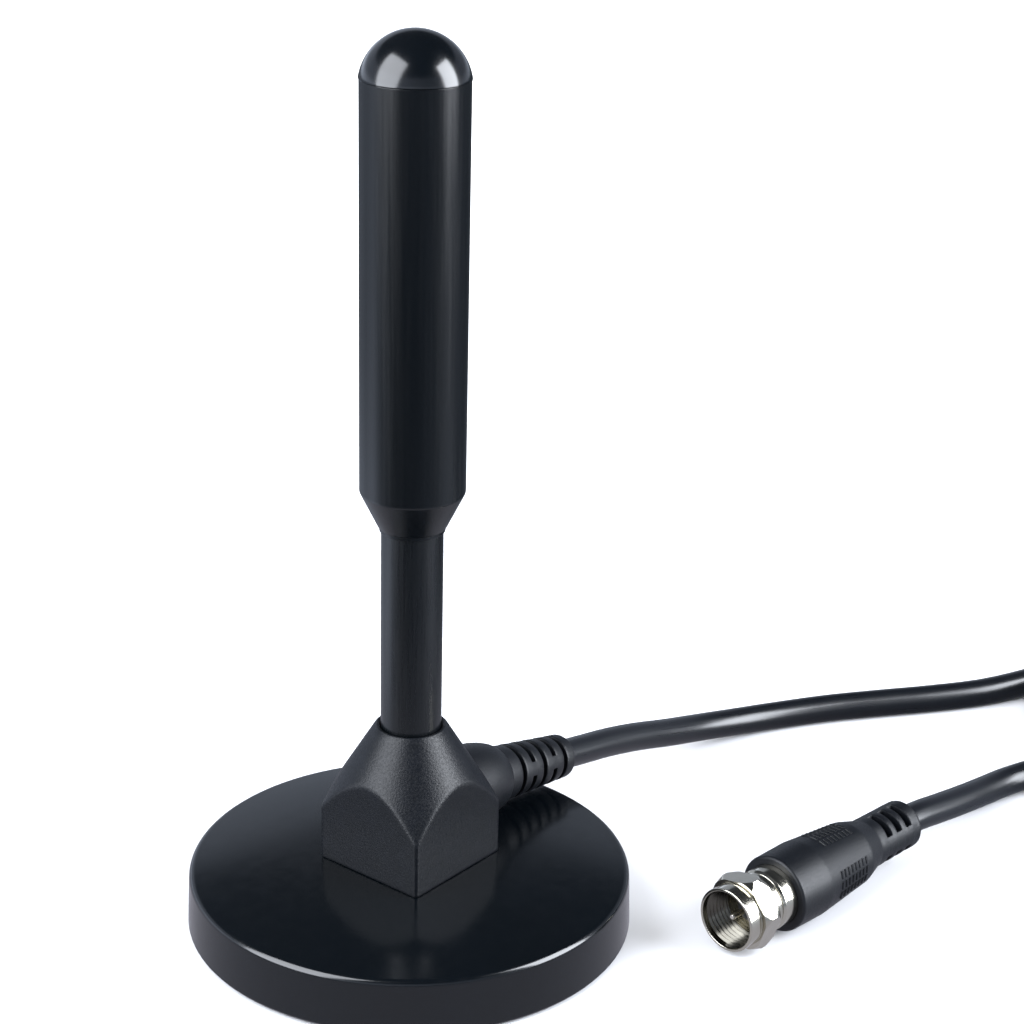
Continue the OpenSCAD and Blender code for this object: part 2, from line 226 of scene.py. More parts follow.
plug_turn = math.radians(-6)
rings_on_plug = (1, 0.03, 0.03)
rings_on_mast = (0.03, 0.03, 1)
# Bright nickel over turned brass: mirror-like and faintly warm, with fine turning rings.
nickel = metal("nickel_plated_turned", "bab6a8", "d2cec2", (0.11, 0.19), 0.2, 0.0006, rings_on_plug,
    -plug_turn)
# The same plating inside the nut's bore and cut thread: darker, which is painted shade for the deep bore,
# and duller.
shaded_bore_nickel = metal("nickel_plated_threaded_painted_shade", "413f39", "716e66", (0.18, 0.34), 0.2, 0.002, rings_on_plug,
    -plug_turn)
# Turned brass: golden, with rings that blur the light along the axis.
brass = metal("brass_turned", "b08536", "cfa552", (0.18, 0.3), 0.15, 0.0012, rings_on_mast)
# Drawn copper wire: pinkish, with soft streaks.
copper = metal("copper_drawn", "b4683c", "d08a5a", (0.2, 0.32), 0.2, 0.001, (1, 1, 0.1))
# Tinned copper-clad steel: the plug's pin, pale and bright at its cut tip.
tinned = metal("copper_tinned_drawn", "cfc9bd", "e6e2da", (0.14, 0.24), 0.1, 0.001, rings_on_plug,
    -plug_turn)
# Zinc-plated steel: cool grey with a cloudy passivate.
zinc = metal("steel_zinc_plated", "a3a8ae", "c3c6c8", (0.25, 0.4), 0.3, 0.001, (1, 1, 1))
print("materials made:", len(bpy.data.materials))

# %% [markdown]
# ## From points to pieces
# A mesh is made from points in millimetres. Doubled points, such as those at the pole of a
# dome, are merged, the faces are turned outwards, and edges sharper than 32 degrees stay
# crisp while the rest shade smoothly. `dress` then hangs a finished piece on the body it rides
# on, and hides the CAD nodes that it replaces.

# %% Meshes
def mesh_piece(name, points, faces, material, place=Matrix.Identity(4)):
    mesh = bpy.data.meshes.new(name)
    placed = np.c_[np.asarray(points, float), np.ones(len(points))] @ np.array(place).T
    mesh.from_pydata((placed[:, :3] * MM).tolist(), [], faces)
    work = bmesh.new()
    work.from_mesh(mesh)
    bmesh.ops.remove_doubles(work, verts=work.verts, dist=0.0005 * MM)
    bmesh.ops.dissolve_degenerate(work, edges=work.edges, dist=0.0005 * MM)
    bmesh.ops.recalc_face_normals(work, faces=work.faces)
    work.to_mesh(mesh)
    work.free()
    mesh.polygons.foreach_set("use_smooth", [True] * len(mesh.polygons))
    mesh.set_sharp_from_angle(angle=math.radians(32))
    mesh.materials.append(material)
    piece = bpy.data.objects.new(name, mesh)
    scene.collection.objects.link(piece)
    return piece


def dress(piece, body, slot, *nodes):
    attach(piece, body)
    if nodes:
        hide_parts(*nodes)
    print(f"{piece.name}: {len(piece.data.polygons)} faces on {body}, stands for {', '.join(nodes)}")
    return piece


def joined(name, pieces):
    """Several meshes as one piece with one material list."""
    with bpy.context.temp_override(active_object=pieces[0], selected_editable_objects=pieces):
        bpy.ops.object.join()
    pieces[0].name = name
    return pieces[0]


# %% [markdown]
# ## Turned shapes
# Most of this aerial is round: it was turned, or moulded in a turned cavity. A turned shape is
# an outline of (radius, height) corners spun about an axis. No real edge is perfectly sharp,
# and it is the small radius on an edge that catches the light, so each corner carries a fillet.
# `rounded` swaps the corner for an arc and puts one extra point just outside it, which keeps
# the flats flat when they are smooth shaded.

# %% Outlines
def rounded(corners, closed=True, step=14):
    count = len(corners)
    outline = []
    for i, (radius, height, fillet) in enumerate(corners):
        here = np.array((radius, height), float)
        if fillet == 0 or (not closed and i in (0, count - 1)):
            outline.append(here)
            continue
        back = np.array(corners[i - 1][:2], float) - here
        ahead = np.array(corners[(i + 1) % count][:2], float) - here
        room = 0.49 * min(np.linalg.norm(back), np.linalg.norm(ahead))
        back /= np.linalg.norm(back)
        ahead /= np.linalg.norm(ahead)
        half = math.acos(max(-1, min(1, back @ ahead))) / 2
        cut = min(fillet / math.tan(half), room / 1.3)
        real = cut * math.tan(half)
        middle = back + ahead
        centre = here + middle / np.linalg.norm(middle) * real / math.sin(half)
        bend = math.pi - 2 * half
        first = here + back * cut - centre
        side = 1 if first[0] * (here + ahead * cut - centre)[1] > first[1] * (here + ahead * cut
            - centre)[0] else -1
        parts = max(2, math.ceil(math.degrees(bend) / step))
        outline.append(here + back * cut * 1.3)
        for k in range(parts + 1):
            a = side * bend * k / parts
            outline.append(centre + np.array((first[0] * math.cos(a) - first[1] * math.sin(a),
                first[0] * math.sin(a) + first[1] * math.cos(a))))
        outline.append(here + ahead * cut * 1.3)
    return np.array(outline)


# %% Spinning an outline
def grid_faces(rows, columns, closed=True):
    """Quads between rings of points. When closed, the last ring meets the first."""
    last = rows if closed else rows - 1
    return [(i * columns + k, i * columns + (k + 1) % columns,
        (i + 1) % rows * columns + (k + 1) % columns, (i + 1) % rows * columns + k) for i in range(last)
        for k in range(columns)]


def turned(name, outline, material, place=Matrix.Identity(4), columns=128, closed=True, shape=None,
        angles=None):
    """shape(radius, height, angle) may change the radius, to cut a hexagon, a square or a slot."""
    if angles is None:
        angles = np.arange(columns) * 2 * np.pi / columns
    columns = len(angles)
    rows = len(outline)
    radius = np.repeat(outline[:, :1], columns, axis=1)
    height = np.repeat(outline[:, 1:2], columns, axis=1)
    angle = np.repeat(np.asarray(angles)[None, :], rows, axis=0)
    if shape:
        radius = shape(radius, height, angle)
    points = np.stack([radius * np.cos(angle), radius * np.sin(angle), height], -1).reshape(-1, 3)
    faces = grid_faces(rows, columns, closed)
    return mesh_piece(name, points, faces, material, place)


print("a 1 mm fillet on a square corner has", len(rounded([(0, 0, 0), (5, 0, 1), (5, 5, 0)], False)),
    "points")

# %% [markdown]
# ## The lead
# The lead is 1.5 m of 5 mm coaxial cable. It leaves the strain relief on the socket, sinks to
# the table in one loose curve and winds into a coil of nearly seven turns, inwards along the
# table and outwards again on top, from where it comes back to the plug. A lead can be
# simulated, but a listed route is exact and repeats: the loose stretches are chosen points, a
# loop works out the turns, and one smooth curve runs through them all. The tube is a mesh so
# that it can carry a map of its own length, which the sheath's lines follow.

# %% The lead's route
gland_tilt = math.radians(10.5)
gland_reach = 29
socket_high = box("socket")[1]
gland_at = Vector((socket_high.x, 0, 18.6))
gland_way = Vector((math.cos(gland_tilt), 0, -math.sin(gland_tilt)))
plug_mount = [m for m in frame["record"]["mounts"] if m["name"] == "f_plug_mouth"][0]
plug_at = Vector(plug_mount["pos_m"]) / MM
plug_way = Vector((math.cos(plug_turn), math.sin(plug_turn), 0))
plug_length = 45.5
lead_d = 5
lead_r = lead_d / 2
run_route = [gland_at + gland_way * gland_reach, (45, 0, 12), (52, 0, 10.6), (60, -0.2, 8.7),
    (69, -0.7, 6.3), (78, -1.7, 4.3), (87, -4.2, 3), (95, -7.8, 2.5), (104, -13.4, 2.5),
    (112, -19.3, 2.5), (120, -25.4, 2.5), (129, -31.5, 2.5), (138.5, -35.9, 2.6), (147.5, -38.9, 2.8),
    (156, -41.2, 3), (163.96, -43.45, 3)]
plug_route = [plug_at + plug_way * plug_length, (72, -50.4, 6.2), (79, -51.1, 5.2), (86, -51.7, 4.2),
    (92.5, -52.1, 3.3), (99, -53.1, 2.9), (104.8, -55.9, 3.4), (109.2, -60.4, 4.8), (112, -66, 6.6),
    (112.57, -71.94, 8.1)]
coil_at = (149.8, -78.5)
coil_out, coil_in = 37.8, 20.74
coil_turns = 6 + 258 / 360
coil_start = math.radians(68)
layer_low, layer_high = 3.05, 8.1
points_per_turn = 24


def coil_point(share):
    angle = coil_start - 2 * math.pi * coil_turns * share
    inward = 1 - abs(2 * share - 1)
    radius = coil_out + (coil_in - coil_out) * inward
    climb = min(1, max(0, (share - 0.5) * coil_turns * 4 + 0.5))
    climb = climb * climb * (3 - 2 * climb)
    return (coil_at[0] + radius * math.cos(angle), coil_at[1] + radius * math.sin(angle),
        layer_low + (layer_high - layer_low) * climb)


coil_steps = round(coil_turns * points_per_turn)
coil_route = [coil_point(i / coil_steps) for i in range(1, coil_steps)]
lead_points = np.array([tuple(p) for p in run_route + coil_route + plug_route[::-1]])
print("points on the lead's route:", len(lead_points))

# %% [markdown]
# A Catmull-Rom curve passes through every chosen point. It is sampled finely, then spaced
# evenly, and a ring of points is carried along it without twisting.

# %% The lead as a tube
def smooth_line(points, spacing):
    ends = np.vstack([2 * points[0] - points[1], points, 2 * points[-1] - points[-2]])
    t = np.linspace(0, 1, 12, endpoint=False)[:, None]
    fine = [0.5 * (2 * b + (c - a) * t + (2 * a - 5 * b + 4 * c - d) * t ** 2 + (3 * b - a - 3 * c + d)
        * t ** 3) for a, b, c, d in zip(ends, ends[1:], ends[2:], ends[3:])]
    fine = np.vstack(fine + [points[-1:]])
    along = np.r_[0, np.cumsum(np.linalg.norm(np.diff(fine, axis=0), axis=1))]
    even = np.linspace(0, along[-1], round(along[-1] / spacing) + 1)
    return np.stack([np.interp(even, along, fine[:, i]) for i in range(3)], 1), even


def swept(name, line, radius, sides, material, along):
    heading = np.gradient(line, axis=0)
    heading /= np.linalg.norm(heading, axis=1)[:, None]
    across = np.cross(heading[0], (0, 0, 1))
    rings = []
    for point, way in zip(line, heading):
        across = across - way * (across @ way)
        across /= np.linalg.norm(across)
        up = np.cross(across, way)
        turn = np.arange(sides) * 2 * np.pi / sides
        rings.append(point + radius * (np.cos(turn)[:, None] * across + np.sin(turn)[:, None] * up))
    faces = grid_faces(len(line), sides, False)
    faces.append(tuple(range(sides))[::-1])
    faces.append(tuple(range((len(line) - 1) * sides, len(line) * sides)))
    piece = mesh_piece(name, np.vstack(rings), faces, material)
    chart = piece.data.uv_layers.new(name="along").data
    rounds = 2 * math.pi * radius * MM / sides
    for face in piece.data.polygons:
        for loop, vertex in zip(face.loop_indices, face.vertices):
            ring, side = divmod(vertex, sides)
            wrap = sides if side == 0 and any(v % sides == sides - 1 for v in face.vertices) else 0
            chart[loop].uv = ((side + wrap) * rounds, along[ring] * MM)
    return piece


lead_line, lead_along = smooth_line(lead_points, 2.0)
lead = swept("coaxial_lead", lead_line, lead_r, 24, sheath_pvc, lead_along)
dress(lead, "stand", "black_pvc_sheath", "cable_run", "cable_coil", "plug_run")
print("lead is", round(lead_along[-1]), "mm long")

# %% [markdown]
# ## The tie round the coil
# A cable tie is a thin strap pulled round the bundle, with a ratchet head and a cut tail. The
# strap follows the coil's own section, so it is a small rounded rectangle carried round a
# larger one, and its head is a bevelled block with the tail end standing out of it.

# %% Cable tie
tie_angle = math.radians(-60)
tie_width = 4
coil_low, coil_high = box("cable_coil")
coil_reach = coil_high.x - coil_at[0]
coil_hole = coil_in - lead_r
strap = rounded([(coil_hole - 0.3, coil_low.z - 0.25, 2.2), (coil_reach + 0.3, coil_low.z - 0.25, 2.2),
    (coil_reach + 0.3, coil_high.z + 0.25, 2.2), (coil_hole - 0.3, coil_high.z + 0.25, 2.2)])
tie_place = (Matrix.Translation((coil_at[0], coil_at[1], 0)) @ Matrix.Rotation(tie_angle, 4, "Z")
    @ Matrix.Rotation(math.pi / 2, 4, "X"))


def strap_piece():
    half, thick = tie_width / 2, 0.22
    section = [(-half, -thick * 0.4), (-half + 0.15, -thick), (half - 0.15, -thick), (half, -thick * 0.4),
        (half, thick * 0.4), (half - 0.15, thick), (-half + 0.15, thick), (-half, thick * 0.4)]
    ahead = np.roll(strap, -1, axis=0) - np.roll(strap, 1, axis=0)
    ahead /= np.linalg.norm(ahead, axis=1)[:, None]
    outward = np.stack([ahead[:, 1], -ahead[:, 0]], 1)
    points = [(*(p + n * h), w) for p, n in zip(strap, outward) for w, h in section]
    faces = grid_faces(len(strap), len(section))
    return mesh_piece("coil_tie_strap", points, faces, tie_nylon, tie_place)


def block(name, size, centre, bevel, material, place):
    """A block with rounded edges, three steps to each."""
    work = bmesh.new()
    bmesh.ops.create_cube(work, size=1)
    bmesh.ops.scale(work, vec=size, verts=work.verts)
    bmesh.ops.bevel(work, geom=work.edges[:], offset=bevel, segments=3, profile=0.5, affect="EDGES")
    bmesh.ops.translate(work, vec=centre, verts=work.verts)
    points = [tuple(v.co) for v in work.verts]
    work.verts.index_update()
    faces = [tuple(v.index for v in f.verts) for f in work.faces]
    work.free()
    return mesh_piece(name, points, faces, material, place)


tie_out = coil_reach + 0.5
tie_head = block("coil_tie_head", (3.2, 4.2, 5.2), (tie_out + 1.5, 5.5, 0), 0.5, tie_nylon, tie_place)
tie_tail = block("coil_tie_tail", (3.2, 0.9, tie_width - 0.4), (tie_out + 2.95, 5.5, 0), 0.2, tie_nylon,
    tie_place)
tie = joined("cable_tie", [strap_piece(), tie_head, tie_tail])
dress(tie, "stand", "black_tie", "coil_tie")

# %% [markdown]
# ## The foot cover
# The foot is a shallow moulded cup over a ring magnet. Its top is crowned by little more than
# a millimetre, flattest in the middle and steepest at the rim, and that slight curve is what
# gathers the bright band of reflection along the far edge. It is a turned outline: up the
# side, round the shoulder, over the crown to the flat seat, and back inside.

# %% Foot cover
foot_low, foot_high = box("foot_cover")
foot_r = foot_high.x
rim_r = foot_r - 0.35
seat_z = foot_high.z
seat_r = 13
crown_r = 32.4
crown_drop = 1.33


def crown_z(radius):
    return seat_z - crown_drop * ((radius - seat_r) / (crown_r - seat_r)) ** 2


crown = [(r, crown_z(r), 0) for r in np.linspace(crown_r, seat_r + 1, 22)]
rim_z = crown_z(crown_r) - (rim_r - crown_r) * 2 * crown_drop / (crown_r - seat_r)
foot_outline = rounded([(foot_r - 0.35, foot_low.z, 0.1), (foot_r, foot_low.z + 0.45, 0.25),
    (rim_r, rim_z, 1.4)] + crown + [(seat_r, seat_z, 0), (7.1, seat_z, 0.1), (7.1, 7.4, 0.1),
    (12, 7.4, 0), (12, seat_z - 1.75, 0.4), (24, rim_z - 0.6, 0), (foot_r - 3, rim_z - 1.55, 0.6),
    (foot_r - 2.1, foot_low.z, 0.1)], step=9)
foot = turned("foot_shell", foot_outline, gloss_abs, columns=192)
dress(foot, "stand", "gloss_black_abs", "foot_cover")

# %% [markdown]
# ## The socket
# The socket is a square block whose top has been turned to a cone, so that each flat face
# ends in an arch and the cone runs down to the four corners. It is one turned surface whose
# radius is the smaller of the square's and the cone's in every direction, blended over half a
# millimetre, which gives the soft moulded edge along the arches. The columns are spaced evenly
# along the sides, with more of them round the corners.

# %% Socket
half_side = socket_high.x
socket_base = seat_z
socket_top = socket_high.z
corner_top = 19.5
cone_foot_r = half_side * math.sqrt(2) + 0.05
spigot_r, spigot_z = 7, 7.4
mouth_r, mouth_deep = 4.9, 1.6
bore_top = 23.4
rim_cone_r = 5.5
corner_round = 0.55
edge_blend = 0.35
outside = 20


def square_angles(half, corner, side_points=60, corner_points=7):
    flat = np.linspace(-(half - corner), half - corner, side_points)
    arc = np.radians(np.linspace(0, 90, corner_points + 2)[1:-1])
    side = [math.atan2(y, half) for y in flat]
    bend = [math.atan2(half - corner + corner * math.sin(a), half - corner + corner * math.cos(a))
        for a in arc]
    return np.array([a + math.radians(90 * k) for k in range(4) for a in side + bend])


def square_radius(angle, half, corner):
    u, v = np.abs(np.cos(angle)), np.abs(np.sin(angle))
    flat = half / np.maximum(u, v)
    inner = half - corner
    inside = np.maximum(corner ** 2 - inner ** 2 * (1 - 2 * u * v), 0)
    return np.where(flat * np.minimum(u, v) > inner, inner * (u + v) + np.sqrt(inside), flat)


def smaller(a, b, blend):
    close = np.maximum(blend - np.abs(a - b), 0) / blend
    return np.minimum(a, b) - close * close * blend / 4


def socket_radius(radius, height, angle):
    cone = np.interp(height, (corner_top, socket_top), (cone_foot_r, rim_cone_r))
    both = smaller(square_radius(angle, half_side, corner_round), cone, edge_blend)
    lower = np.clip((height - socket_base) / 0.3, 0, 1)
    both = both - 0.25 * (1 - np.sqrt(1 - (1 - lower) ** 2))
    return np.where(radius > outside, np.minimum(both, radius - outside), radius)


socket_heights = np.concatenate([socket_base + np.array((0, 0.06, 0.15, 0.3)),
    np.arange(socket_base + 0.6, socket_top - 0.25, 0.24)])
# The outside rows carry this much extra radius, which marks them for `socket_radius`.
wall = [(outside + 30, z, 0) for z in socket_heights]
lip = [(outside + rim_cone_r + 0.02 - 0.3 * (1 - math.cos(a)), socket_top - 0.3 + 0.3 * math.sin(a), 0)
    for a in np.radians((20, 45, 70))]
socket_outline = rounded([(0, spigot_z, 0), (spigot_r, spigot_z, 0.2), (spigot_r, socket_base, 0)] + wall
    + lip + [(5.25, socket_top, 0), (mouth_r, socket_top - 0.15, 0),
    (mouth_r, socket_top - mouth_deep, 0.1), (4, socket_top - mouth_deep, 0), (4, bore_top, 0),
    (0, bore_top, 0)], False)
socket = turned("square_socket", socket_outline, eroded_abs, closed=False, shape=socket_radius,
    angles=square_angles(half_side, corner_round))
dress(socket, "stand", "matt_black_abs", "socket")

# %% [markdown]
# ## The strain relief
# The lead leaves the socket through a tapered sleeve of soft PVC. Three grooves go all the way
# round it, and the slots between them stop at two bridges, so that it bends evenly instead of
# kinking the cable at the wall. Slots and grooves are steps in the outline, and a test on the
# angle fills the slots back in where the bridges are. The root is pressed flat on the socket.

# %% Strain relief on the socket
gland_place = Matrix.Translation(gland_at) @ Matrix.Rotation(math.pi / 2 + gland_tilt, 4, "Y")
root_r = 6.35
relief_r = 4.6
tip_r = 3.7
slot_floor = 3.1
bridge_at = math.radians(73)
bridge_half = math.radians(17)


def relief_outline(start, end, r_start, r_end, cuts, width, floor):
    """The slotted stretch of a strain relief, with a small round on each slot's edges."""
    def skin(z):
        return r_start + (r_end - r_start) * (z - start) / (end - start)
    steps = []
    for z in cuts:
        for at, side in ((z, -1), (z + width, 1)):
            edge = [(skin(at), at + side * 0.3, 0), (skin(at) - 0.02, at + side * 0.14, 0),
                (skin(at) - 0.1, at + side * 0.03, 0), (skin(at) - 0.25, at, 0), (floor, at, 0)]
            steps += edge if side < 0 else edge[::-1]
    return steps


def bridged(slots, width, skin_of, bridges, half):
    """A shape that fills the named slots back to the skin at the bridges."""
    def shape(radius, height, angle):
        for z in slots:
            near = np.abs((angle[..., None] - bridges + np.pi) % (2 * np.pi) - np.pi).min(-1) < half
            inside = (height > z - 0.2) & (height < z + width + 0.2) & near
            radius = np.where(inside, np.maximum(radius, skin_of(height)), radius)
        return radius
    return shape


bell = [(relief_r + (root_r - relief_r) * math.cos(a), 2.5 + 7.5 * math.sin(a), 0)
    for a in np.radians(np.arange(0, 91, 7.5))]
gland_cuts = (13, 16, 19, 22, 25)
gland_slots = (16, 22)
gland_outline = rounded([(lead_r, -3.5, 0.1), (4, -3.5, 0.2), (4, -1.2, 0), (root_r, -1.2, 0)] + bell
    + [(relief_r, 12, 0)] + relief_outline(12, gland_reach - 1, relief_r, tip_r, gland_cuts, 1,
    slot_floor) + [(tip_r, gland_reach - 0.9, 0.3), (tip_r - 0.7, gland_reach, 0.4),
    (lead_r, gland_reach, 0)])


def gland_skin(height):
    return np.interp(height, (12, gland_reach - 1), (relief_r, tip_r))


gland = turned("strain_relief", gland_outline, moulded_pvc, gland_place, 120,
    shape=bridged(gland_slots, 1, gland_skin, np.array((bridge_at, bridge_at + math.pi)), bridge_half))
for vertex in gland.data.vertices:
    off_axis = ((vertex.co / MM - gland_at).cross(gland_way)).length
    if off_axis > 4.05:
        vertex.co.x = max(vertex.co.x, (half_side - 0.05) * MM)
dress(gland, "stand", "moulded_black_pvc", "cable_gland")

# %% [markdown]
# ## Geometry Nodes helpers
# What repeats or winds is grown by Geometry Nodes. A tree has named inputs for its sizes. It
# runs once on an empty mesh, its inputs set by each socket's identifier, and the result is
# copied out as a plain mesh, so nothing live is left on the piece.

# %% Trees
def sizes_tree(name, sizes):
    tree = bpy.data.node_groups.new(name, "GeometryNodeTree")
    for label, kind in sizes.items():
        tree.interface.new_socket(label, in_out="INPUT", socket_type="NodeSocket" + kind)
    tree.interface.new_socket("Geometry", in_out="OUTPUT", socket_type="NodeSocketGeometry")
    return tree, add(tree, "NodeGroupInput").outputs


def close_tree(tree, grown, material_input):
    real = add(tree, "GeometryNodeRealizeInstances", {"Geometry": grown})
    painted = add(tree, "GeometryNodeSetMaterial", {"Geometry": real, "Material": material_input})
    add(tree, "NodeGroupOutput", {"Geometry": painted})


def copies_round(tree, piece, count):
    """Copies of a piece at equal angles round Z."""
    here = add(tree, "GeometryNodeMeshLine", {"Count": count, "Offset": (0.0, 0.0, 0.0)})
    number = add(tree, "GeometryNodeInputIndex")
    slice_of = add(tree, "ShaderNodeMath", {0: 2 * math.pi, 1: count}, operation="DIVIDE")
    turn = add(tree, "ShaderNodeMath", {0: number, 1: slice_of}, operation="MULTIPLY")
    spin = add(tree, "ShaderNodeCombineXYZ", {"Z": turn})
    return add(tree, "GeometryNodeInstanceOnPoints", {"Points": here, "Instance": piece,
        "Rotation": spin})


def grow(name, tree, place, **sizes):
    holder = bpy.data.objects.new(name, bpy.data.meshes.new(name))
    scene.collection.objects.link(holder)
    growth = holder.modifiers.new("grow", "NODES")
    growth.node_group = tree
    for item in tree.interface.items_tree:
        if item.in_out == "INPUT":
            growth[item.identifier] = sizes[item.name]
    bpy.context.view_layer.update()
    solid = holder.evaluated_get(bpy.context.evaluated_depsgraph_get())
    mesh = bpy.data.meshes.new_from_object(solid)
    holder.modifiers.remove(growth)
    holder.data = mesh
    mesh.transform(Matrix.Scale(MM, 4) @ place)
    mesh.polygons.foreach_set("use_smooth", [True] * len(mesh.polygons))
    mesh.set_sharp_from_angle(angle=math.radians(32))
    return holder


# %% [markdown]
# ### A helix
# One tree winds everything here that follows a helix: the loading coil's wire, and the threads
# of the stud, the insert and the nut. A spiral curve carries a round wire, or a diamond with
# one corner outwards, which is a thread's ridge once its inner half is buried in the metal.

# %% Helix tree
helix, sizes = sizes_tree("helix", {"Turns": "Float", "Radius": "Float", "Rise": "Float", "Wire": "Float",
    "Sides": "Int", "Steps": "Int", "Finish": "Material"})
spiral = add(helix, "GeometryNodeCurveSpiral", {"Resolution": sizes["Steps"], "Rotations": sizes["Turns"],
    "Start Radius": sizes["Radius"], "End Radius": sizes["Radius"], "Height": sizes["Rise"]})
upright = add(helix, "GeometryNodeSetCurveNormal", {"Curve": spiral}, mode="Z_UP")
section = add(helix, "GeometryNodeCurvePrimitiveCircle", {"Resolution": sizes["Sides"],
    "Radius": sizes["Wire"]})
winding = add(helix, "GeometryNodeCurveToMesh", {"Curve": upright, "Profile Curve": section,
    "Fill Caps": True})
close_tree(helix, winding, sizes["Finish"])
print("helix tree has", len(helix.nodes), "nodes")


def thread(name, low, high, radius, depth, pitch, finish, place=Matrix.Identity(4)):
    turns = (high - low) / pitch
    return grow(name, helix, place @ Matrix.Translation((0, 0, low)), Turns=turns, Radius=radius,
        Rise=high - low, Wire=depth, Sides=4, Steps=32, Finish=finish)


# %% [markdown]
# ## The F plug
# The nut spins freely on the plug, so it is a piece of its own body. It is one turned solid: a
# collar, a hexagon with chamfered corners, and a rear collar. The hexagon is again a radius
# that depends on the angle. Inside is a real 32-to-the-inch thread.

# %% Coupling nut
plug_place = (Matrix.Translation(plug_at) @ Matrix.Rotation(plug_turn, 4, "Z")
    @ Matrix.Rotation(math.pi / 2, 4, "Y"))
nut_flats = 11
nut_turn = math.radians(18)
collar_r = 5.2
hex_low, hex_high = 2.6, 6.2
nut_end = 8.1
bore_r = 4.62
f_pitch = 25.4 / 32


def nut_radius(radius, height, angle):
    corner = nut_flats / math.sqrt(3)
    facet = (angle - nut_turn + np.pi / 6) % (np.pi / 3) - np.pi / 6
    flat = nut_flats / 2 / np.cos(np.pi / 6 - np.abs(facet))
    cut = corner - 0.54 + 0.456 * np.minimum(height - hex_low, hex_high - height)
    return np.where(radius > outside, smaller(flat, cut, 0.12), radius)


hex_rows = [(30, z, 0) for z in np.linspace(hex_low, hex_high, 25)]
nut_outline = rounded([(bore_r + 0.15, 0, 0.1), (collar_r, 0, 0.22), (collar_r, hex_low - 0.25, 0.05),
    (collar_r - 0.12, hex_low - 0.1, 0), (collar_r - 0.05, hex_low, 0)] + hex_rows
    + [(collar_r - 0.3, hex_high, 0), (collar_r - 0.3, nut_end, 0.3), (3.42, nut_end, 0.1),
    (3.42, 6.8, 0.1), (bore_r, 6.8, 0.1), (bore_r, 0.5, 0)])
nut_columns = nut_turn + np.arange(144) * 2 * np.pi / 144
nut_body = turned("nut_body", nut_outline, nickel, plug_place, shape=nut_radius, angles=nut_columns)
nut_thread = thread("nut_thread", 0.6, 6.5, bore_r + 0.04, 0.36, f_pitch, nickel, plug_place)
nut = joined("f_nut", [nut_body, nut_thread])
nut.data.materials.append(shaded_bore_nickel)
# Faces inside the bore, up to the nut's inner shoulder, take the darker nickel: painted shade in the
# recess.
for face in nut.data.polygons:
    out = face.center / MM - plug_at
    if out.cross(plug_way).length < bore_r + 0.1 and 0.1 < out @ plug_way < 6.9:
        face.material_index = 1
dress(nut, "nut", "nickel_plated_brass", "coupling_nut")

# %% [markdown]
# ## Ferrule, pin and moulded body
# Behind the nut a crimped ferrule shows for three millimetres before the black moulding. The
# pin is the lead's own inner wire, cut off square. The moulding has a blunt nose, tapers to
# the lead, and ends in a slotted strain relief with three slots in each of three rows.

# %% Ferrule and pin
ferrule_r, ferrule_start, ferrule_end = 5, 8.3, 14.4
crimp_r = 3.35
sheath_end = 22
ferrule_outline = rounded([(crimp_r + 0.01, ferrule_start, 0.1), (ferrule_r - 0.3, ferrule_start, 0.15),
    (ferrule_r, ferrule_start + 0.45, 0.2), (ferrule_r, ferrule_end, 0.1),
    (crimp_r + 0.01, ferrule_end, 0.1)])
ferrule = turned("crimp_ferrule", ferrule_outline, nickel, plug_place)
dress(ferrule, "stand", "nickel_plated_brass", "plug_ferrule")
pin_r, pin_tip = 0.5, 1.4
pin_outline = rounded([(0, pin_tip, 0), (pin_r - 0.14, pin_tip, 0.05), (pin_r, pin_tip + 0.22, 0.1),
    (pin_r, sheath_end, 0), (0, sheath_end, 0)], False)
pin = turned("plug_pin", pin_outline, tinned, plug_place, 32, closed=False)
dress(pin, "stand", "copper", "centre_pin")

# %% Plug body
body_start = 11.5
body_r = 6.4
waist_r = 5.4
plug_tip_r = 4.2
plug_cuts = (36.5, 39.1, 41.7)
plug_cut_w = 1.3
plug_bridges = np.radians((24.5, 144.5, 264.5))
body_outline = rounded([(ferrule_r, body_start, 0.1), (body_r - 0.1, body_start, 0.9),
    (body_r, body_start + 7, 6), (waist_r, 30.5, 3), (plug_tip_r, 34.5, 2)]
    + relief_outline(35, 44.5, plug_tip_r, plug_tip_r - 0.1, plug_cuts, plug_cut_w, 3)
    + [(plug_tip_r - 0.1, plug_length, 0.7), (lead_r, plug_length, 0.1), (lead_r, sheath_end, 0),
    (crimp_r, sheath_end, 0), (crimp_r, ferrule_end + 0.1, 0), (ferrule_r, ferrule_end + 0.1, 0)])


def plug_skin(height):
    return np.full_like(height, plug_tip_r - 0.05)


plug_body = turned("plug_moulding", body_outline, moulded_pvc, plug_place, 120,
    shape=bridged(plug_cuts, plug_cut_w, plug_skin, plug_bridges, math.radians(26)))
dress(plug_body, "stand", "moulded_black_pvc", "plug_body")

# %% [markdown]
# ### Grip ribs
# Four patches of fine ribs give the fingers a hold. Each patch is a small grid: short arcs
# laid on the body, set side by side round it, repeated along it, and the whole patch repeated
# round the plug. The body tapers, so each row is scaled to the radius where it lies.

# %% Grip rib tree
grip, sizes = sizes_tree("grip_ribs", {"Ribs": "Int", "Pitch": "Float", "Radius": "Float",
    "Taper": "Float", "Width": "Float", "Span": "Float", "Pieces": "Int", "Patches": "Int",
    "Finish": "Material"})

